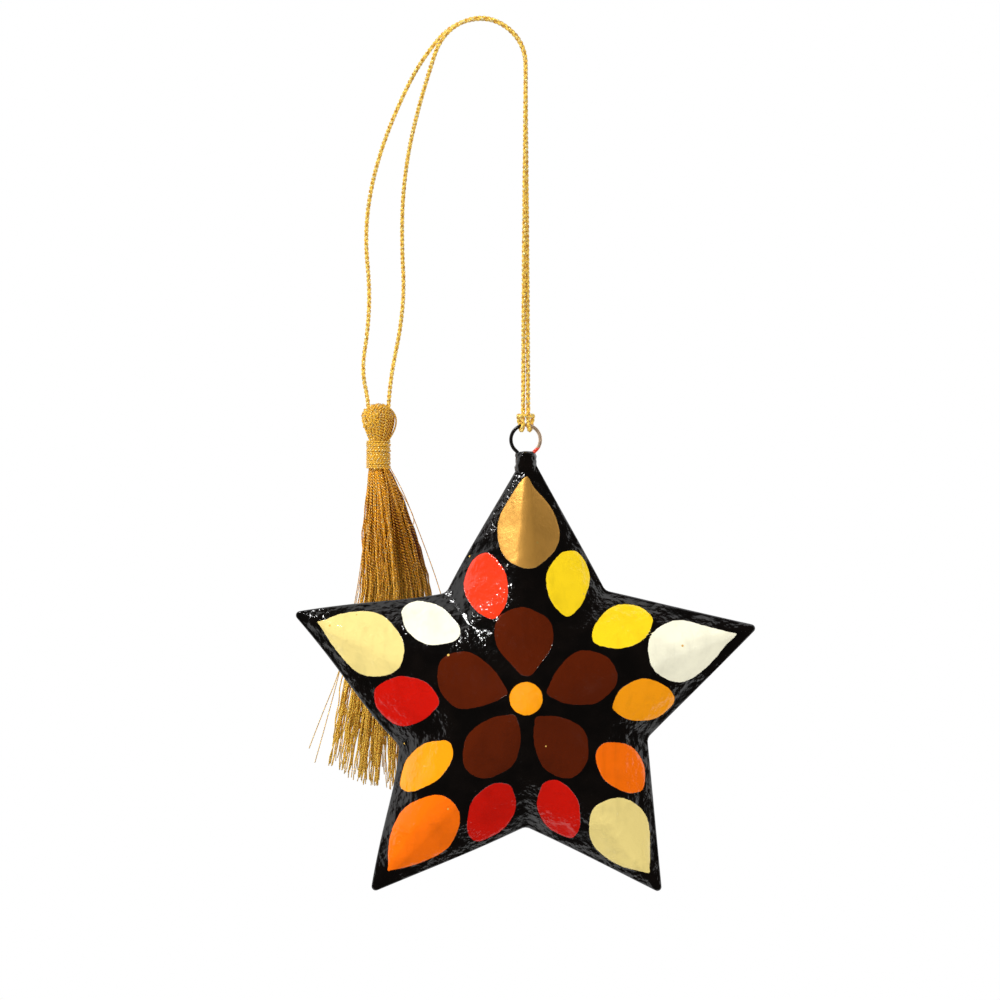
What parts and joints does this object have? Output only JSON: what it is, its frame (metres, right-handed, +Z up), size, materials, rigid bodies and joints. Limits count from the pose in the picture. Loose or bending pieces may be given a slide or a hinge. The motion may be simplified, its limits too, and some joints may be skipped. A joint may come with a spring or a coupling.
{
  "type": "hanging star ornament",
  "caption": "Puffy hollow star in painted black lacquer that hangs by a wire eye from a cow-hitched gold cord loop, with a gold thread tassel on the loop's other end.",
  "frame": {"origin": "inside of the cord's crown, where the loop rests on whatever it is hung over", "axes": "+Z up, +X to the right seen from the star's face, +Y to the back, so the star's face looks along -Y"},
  "size_m": [0.0765, 0.0395, 0.1459],
  "materials": {
    "lacquer": "moulded papier-mache under glossy black lacquer with hand-painted coloured dabs",
    "glue": "dried glue line under lacquer",
    "filler": "lumpy filler under glossy black lacquer",
    "eye_wire": "drawn wire, partly painted over",
    "gold_cord": "braided metallic gold yarn",
    "gold_thread": "loose metallic gold thread"
  },
  "bodies": {
    "cord": {"star_strand_front": "gold_cord", "star_strand_back": "gold_cord", "tassel_strand_left": "gold_cord", "tassel_strand_right": "gold_cord", "end_knot": "gold_cord"},
    "hitch": {"cow_hitch": "gold_cord"},
    "star": {"star_front_shell": "lacquer", "star_back_shell": "lacquer", "glue_seam": "glue", "neck_plug": "filler", "wire_eye": "eye_wire"},
    "tassel": {"tassel_head": "gold_thread", "neck_binding": "gold_thread", "tassel_skirt": "gold_thread"}
  },
  "joints": [
    {"name": "star_turn", "type": "hinge", "parent": "cord", "child": "hitch", "pos_m": [0.00787, 0, -0.0649], "axis": [0, 0, 1], "range_deg": [-10, 100]},
    {"name": "star_swing", "type": "hinge", "parent": "hitch", "child": "star", "pos_m": [0.00787, 0, -0.0675], "axis": [1, 0, 0], "range_deg": [-70, 3]},
    {"name": "tassel_swing", "type": "hinge", "parent": "cord", "child": "tassel", "pos_m": [-0.01741, 0.022, -0.06537], "axis": [1, 0, 0], "range_deg": [-2.5, 60]}
  ]
}
